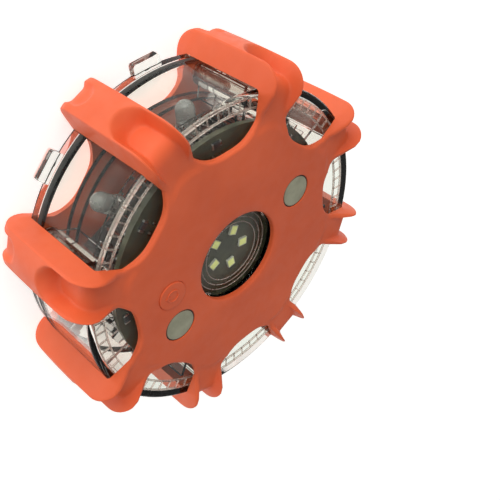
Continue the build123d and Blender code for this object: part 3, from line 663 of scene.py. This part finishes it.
def arm_rows(has_window):
    """Every row across an arm, from the star's middle over the corner to halfway down its side."""
    rows = []

    def add(centre, height, normal=(0.0, 1.0), end=None, foot=None, low=None):
        rows.append(dict(centre=centre, height=height, normal=normal, end=end, foot=foot, low=low))

    star_start = HOLE_R + WINDOW_BEVEL
    window_edge = ((HOLE_R, CASE_TOP), (HOLE_R, FACE - WINDOW_BEVEL), (HOLE_R + 0.18, FACE - 0.18),
                   (star_start, FACE))
    closed_middle = ((0.005, FACE), (4.0, FACE), (9.0, FACE), (star_start, FACE))
    for along, high in window_edge if has_window else closed_middle:
        add(along, high)
    inner_stop = NOTCH_R - BAND
    for step in range(1, 9):
        add(star_start + (inner_stop - star_start) * step / 8, FACE)
    rows[-1]["end"] = Vector((inner_stop * cos(HALF), inner_stop * sin(HALF)))
    rows[-1]["foot"] = notch_edge(0)
    turns = [radians(angle) for angle in (2, 4, 6, 8, 9.6, 11, 12.2, 13.3, 14.2, 15)]
    for step, turn in enumerate(turns):
        here = notch_edge(turn)
        tangent = (notch_edge(turn + 0.001) - notch_edge(turn - 0.001)).normalized()
        inward = Vector((-abs(tangent.y), -abs(tangent.x)))
        share = (step + 1) / len(turns)
        width = BAND - (BAND - EDGE_WIDTH) * share ** 3
        centre = inner_stop + (LAST_NOTCH_ROW - inner_stop) * share ** 1.15
        add(centre, None, end=here + inward * width, foot=here)
    for along in (40.4, 41.5, 42.6, CREST_IN, 44.5, 45.5, 46.5, CREST_OUT):
        width = NECK_WIDTH + (FOOT_WIDTH - NECK_WIDTH) * min(1.0, (along - NECK_START) / NECK_RUN)
        reach = min(along, CREST_IN + (along - CREST_IN) * 0.6)
        add(along, None, end=Vector((along, width - EDGE_WIDTH)), foot=Vector((reach, width)))
    hub_z = HEIGHT - CORNER_R
    for step in range(1, 9):
        turn = radians(90 - 90 * step / 8)
        normal = (cos(turn), sin(turn)) if step < 8 else (1.0, 0.0)
        along = CREST_OUT + CORNER_R * normal[0]
        foot = Vector((CASE_R - CASE_EDGE + CASE_EDGE * normal[0], FOOT_WIDTH))
        add(along, hub_z + CORNER_R * normal[1], normal, Vector((along, RIB_TOP)), foot,
            CASE_TOP - CASE_EDGE + CASE_EDGE * normal[1])
    start = CREST_OUT + CORNER_R
    for step in range(1, SIDE_ROWS + 1):
        share = step / SIDE_ROWS
        high = hub_z + (MID - hub_z) * share
        along = start + (REACH - start) * (1 - (1 - share) ** 2)
        add(along, high, (1.0, 0.0), Vector((along, RIB_TOP)), Vector((CASE_R, FOOT_WIDTH)),
            CASE_TOP - CASE_EDGE + (MID - CASE_TOP + CASE_EDGE) * share)
    return rows


def under_point(row, along, across):
    """The point of the case's surface that lies under a point of the jacket."""
    if row["low"] is not None:
        radius = row["foot"].x
        return Vector((sqrt(radius * radius - across * across), across, row["low"]))
    if row["foot"] is not None and row["centre"] > CREST_IN:
        return Vector((row["foot"].x, across, CASE_TOP))
    return Vector((along, across, CASE_TOP))


def edge_line(row, start):
    """The rounded edge from a row's end down to its foot on the case."""
    foot = under_point(row, row["foot"].x, row["foot"].y)
    normal = Vector((row["normal"][0], 0, row["normal"][1]))
    fall = foot - start
    tall = -fall.dot(normal)
    if row["centre"] > STRAIGHT_FROM:
        out = Vector((0, 1, 0))
    else:
        out = Vector((fall.x, fall.y, 0)).normalized()
    flat = fall.dot(out)
    lean = 0.0 if tall < LEAN_FROM else min(FOOT_WIDTH - RIB_OUTSIDE, LEAN_RATE * (tall - LEAN_FROM))
    corner = start + out * (flat - lean)
    down = (foot - corner).normalized()
    first = corner - out * min(EDGE_ROUND, 0.9 * (flat - lean))
    last = corner + down * min(1.0, 0.5 * tall)
    points = [first]
    for step in range(1, FILLET_STEPS):
        share = step / FILLET_STEPS
        points.append(first.lerp(corner, share).lerp(corner.lerp(last, share), share))
    points += [last, last.lerp(foot, 0.33), last.lerp(foot, 0.67), foot]
    under_start = under_point(row, start.x, start.y)
    under = [under_start.lerp(foot, step / len(points)) for step in range(1, len(points) + 1)]
    return points, under


def jacket_quarter(scoop, has_window):
    """The outer and inner surface lines of half an arm, on one side of the jacket's middle."""
    outer, inner = [], []
    for row in arm_rows(has_window):
        centre, end, normal = row["centre"], row["end"], row["normal"]
        top_line, under_line = [], []
        for column in range(ACROSS + 1):
            share = column / ACROSS
            if end is None or centre < NOTCH_R - BAND + 0.01:
                turn = HALF * share
                along, across = centre * cos(turn), centre * sin(turn)
            else:
                across = end.y * share ** 0.85 if centre > CROWDED_FROM else end.y * share
                along = centre + (end.x - centre) * (across / end.y) ** 2
            high = blank_height(along) if row["height"] is None else row["height"]
            depth = CROWN * normal[0] * (across / RIB_OUTSIDE) ** 2
            if centre > RISE_START:
                fade = min(1.0, centre - RISE_START)
                depth = max(depth, scoop_depth(scoop, normal, along, across, high) * fade + depth * 0.5)
            top_line.append(Vector((along - normal[0] * depth, across, high - normal[1] * depth)))
            under_line.append(under_point(row, along, across))
        if end is not None:
            edge, under_edge = edge_line(row, top_line[-1])
            top_line += edge
            under_line += under_edge
        outer.append(top_line)
        inner.append(under_line)
    return outer, inner


def add_grid(mesh, lines, turn, flip_across, flip_up):
    """Adds one copy of a grid of points, mirrored or turned as asked."""
    spin = Matrix.Rotation(turn, 3, "Z")
    grid = []
    for line in lines:
        made = []
        for x, y, z in line:
            point = Vector((x, -y if flip_across else y, HEIGHT - z if flip_up else z))
            made.append(mesh.verts.new(spin @ point))
        grid.append(made)
    for lower, upper in zip(grid, grid[1:]):
        for column in range(min(len(lower), len(upper)) - 1):
            mesh.faces.new((lower[column], lower[column + 1], upper[column + 1], upper[column]))


jacket_mesh = bmesh.new()
for flip_up, scoop in ((False, FRONT_SCOOP), (True, BACK_SCOOP)):
    quarter = jacket_quarter(scoop, not flip_up)
    for arm in range(ARMS):
        for flip_across in (False, True):
            for lines in quarter:
                add_grid(jacket_mesh, lines, arm * 2 * HALF, flip_across, flip_up)
bmesh.ops.remove_doubles(jacket_mesh, verts=jacket_mesh.verts, dist=0.02)

ORANGE_DARK = (0.72, 0.108, 0.032)
ORANGE_LIGHT = (0.82, 0.132, 0.041)
orange = worn("orange_rubber", ORANGE_DARK, ORANGE_LIGHT, 0.50, 0.07, 0.02, patch=45, fine=3500)
jacket = add_piece("jacket", jacket_mesh, orange, ["rubber_jacket"], edge=70)

# ---------------------------------------------------------------------------------------------
# Magnets.  Two plated discs glued in wells of the case, level with the rubber round them.
# ---------------------------------------------------------------------------------------------

MAGNET_GAP = 0.12
MOUTH = 0.12
PLATE_IN = 0.22
CUT_FROM = 20.0
NICKEL_DARK = (0.40, 0.40, 0.29)
NICKEL_LIGHT = (0.50, 0.50, 0.37)

nickel = worn("nickel_plate", NICKEL_DARK, NICKEL_LIGHT, 0.46, 0.07, 0.006, metal=0.8, patch=260)
for name in ("magnet_right", "magnet_left"):
    low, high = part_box(name)
    centre = (low + high) / 2 / MM
    radius = (high.x - low.x) / 2 / MM
    bottom, top = low.z / MM, high.z / MM
    cut_hole(jacket, radius + MAGNET_GAP, centre, CUT_FROM, FACE, MOUTH)
    disc_mesh = bmesh.new()
    here = Matrix.Translation((centre.x, centre.y, 0))
    edge_r = radius - PLATE_IN
    disc_profile = [(0, bottom), (edge_r - 0.2, bottom), (edge_r, bottom + 0.2), (edge_r, top - 0.25)]
    disc_profile += [(edge_r - 0.08, top - 0.08), (edge_r - 0.3, top), (edge_r * 0.5, top), (0, top)]
    lathe(disc_mesh, disc_profile, 96, here)
    add_piece(name.replace("magnet", "plated_magnet"), disc_mesh, nickel, [name])
    # A black ring fills the gap round the disc: painted shade where the gap falls dark.
    gap_shade = bmesh.new()
    gap_shade_profile = [(edge_r - 0.05, bottom + 0.3), (radius + 0.05, bottom + 0.3)]
    gap_shade_profile += [(radius + 0.05, top - 0.25), (edge_r + 0.1, top - 0.35), (edge_r - 0.05, top - 0.3)]
    lathe(gap_shade, gap_shade_profile, 96, here)
    add_piece(name.replace("magnet", "magnet_gap_shade"), gap_shade, black_plastic)

# ---------------------------------------------------------------------------------------------
# Power button.  A round rubber pad, level with the face, with a ring and a bar raised on it.  It
# moves with its plunger and the small switch's stem.
# ---------------------------------------------------------------------------------------------

PAD_GAP = 0.08
PAD_MOUTH = 0.10
MARK_HEIGHT = 0.2
RING_IN = 1.45
RING_OUT = 1.95
MARK_BEVEL = 0.08
MARK_EDGE = 0.07
BAR = (0.5, 1.5, 0.26)
BAR_PLACE = 1.6
BAR_ANGLE = 60

low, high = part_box("power_button")
pad_centre = (low + high) / 2 / MM
PAD_R = (high.x - low.x) / 2 / MM
PAD_LOW, PAD_MARK = low.z / MM, high.z / MM
PAD_TOP = PAD_MARK - MARK_HEIGHT
cut_hole(jacket, PAD_R + PAD_GAP, pad_centre, CUT_FROM, FACE, PAD_MOUTH)
pad = bmesh.new()
at_pad = Matrix.Translation((pad_centre.x, pad_centre.y, 0))
lathe(pad, [(0, PAD_LOW), (PAD_R - 0.1, PAD_LOW), (PAD_R, PAD_LOW + 0.1), (PAD_R, PAD_TOP - 0.15),
            (PAD_R - 0.12, PAD_TOP - 0.02), (PAD_R - 0.4, PAD_TOP), (0, PAD_TOP)], 96, at_pad)
ring_profile = [(RING_IN, PAD_TOP - 0.1), (RING_IN, PAD_MARK - MARK_EDGE), (RING_IN + MARK_BEVEL, PAD_MARK)]
ring_profile += [(RING_OUT - MARK_BEVEL, PAD_MARK), (RING_OUT, PAD_MARK - MARK_EDGE)]
ring_profile += [(RING_OUT, PAD_TOP - 0.1)]
lathe(pad, ring_profile, 64, at_pad)
at_bar = at_pad @ Matrix.Rotation(radians(BAR_ANGLE), 4, "Z")
rounded_box(pad, BAR, at_bar @ Matrix.Translation((0, BAR_PLACE, PAD_MARK - 0.15)), MARK_EDGE)
add_piece("button_pad", pad, orange, ["power_button"], body="button", edge=50)
wear("button_plunger", white_plastic)
wear("switch_stem", black_plastic)
wear("switch_body", steel)

# ---------------------------------------------------------------------------------------------
# Floor, lights and camera.  A flat, pale paper floor under an even sky.  One large soft light
# stands low behind the camera and is kept out of reflections; a small one gives the glints.
# ---------------------------------------------------------------------------------------------

FLOOR_REACH = 3.0
PAPER_GLOW = 0.62
SKY_COLOUR = (1, 0.99, 0.97)
SKY_STRENGTH = 0.46
KEY_PLACE = (0.12, 0.60, 0.14)
KEY_SIZE = 0.45
KEY_POWER = 2.5
GLINT_PLACE = (-0.22, 0.42, 0.40)
GLINT_SIZE = 0.05
GLINT_POWER = 0.12
CAMERA_PLACE = (-0.030805, 0.160213, 0.140204)
CAMERA_FORWARD = (0.17447, -0.82212, -0.54193)
CAMERA_UP = (0.74758, 0.4688, -0.47049)
SENSOR_WIDTH = 36.0
LENS_LENGTH = 51.85

floor_mesh = bpy.data.meshes.new("floor")
floor_corners = [(x * FLOOR_REACH, y * FLOOR_REACH, 0) for x, y in ((-1, -1), (1, -1), (1, 1), (-1, 1))]
floor_mesh.from_pydata(floor_corners, [], [(0, 1, 2, 3)])
floor = bpy.data.objects.new("floor", floor_mesh)
bpy.context.scene.collection.objects.link(floor)
paper, _, paper_shader = new_finish("floor_paper", (0.9, 0.9, 0.89), 0.9)
paper_shader.inputs["Emission Color"].default_value = (1, 1, 0.98, 1)
paper_shader.inputs["Emission Strength"].default_value = PAPER_GLOW
floor_mesh.materials.append(paper)

world = bpy.data.worlds.new("studio")
bpy.context.scene.world = world
world.use_nodes = True
sky = world.node_tree.nodes["Background"]
sky.inputs["Color"].default_value = (*SKY_COLOUR, 1)
sky.inputs["Strength"].default_value = SKY_STRENGTH


def softbox(name, place, target, size, power):
    """A square studio light aimed at a point."""
    lamp = bpy.data.lights.new(name, "AREA")
    lamp.size = size
    lamp.energy = power
    box = bpy.data.objects.new(name, lamp)
    box.location = place
    aim = Vector(target) - Vector(place)
    box.rotation_euler = aim.to_track_quat("-Z", "Y").to_euler()
    bpy.context.scene.collection.objects.link(box)
    return box


middle = (0, 0, MID * MM)
key_light = softbox("key_light", KEY_PLACE, middle, KEY_SIZE, KEY_POWER)
key_light.visible_glossy = False
softbox("glint_light", GLINT_PLACE, middle, GLINT_SIZE, GLINT_POWER)

lens = bpy.data.cameras.new("camera")
lens.sensor_width = SENSOR_WIDTH
lens.lens = LENS_LENGTH
lens.clip_start = 0.01
camera = bpy.data.objects.new("camera", lens)
forward = Vector(CAMERA_FORWARD).normalized()
right = forward.cross(Vector(CAMERA_UP)).normalized()
up = right.cross(forward)
turned = Matrix((right, up, -forward)).transposed().to_4x4()
camera.matrix_world = Matrix.Translation(Vector(CAMERA_PLACE)) @ turned
bpy.context.scene.collection.objects.link(camera)
bpy.context.scene.camera = camera
bpy.context.scene.view_settings.view_transform = "Standard"
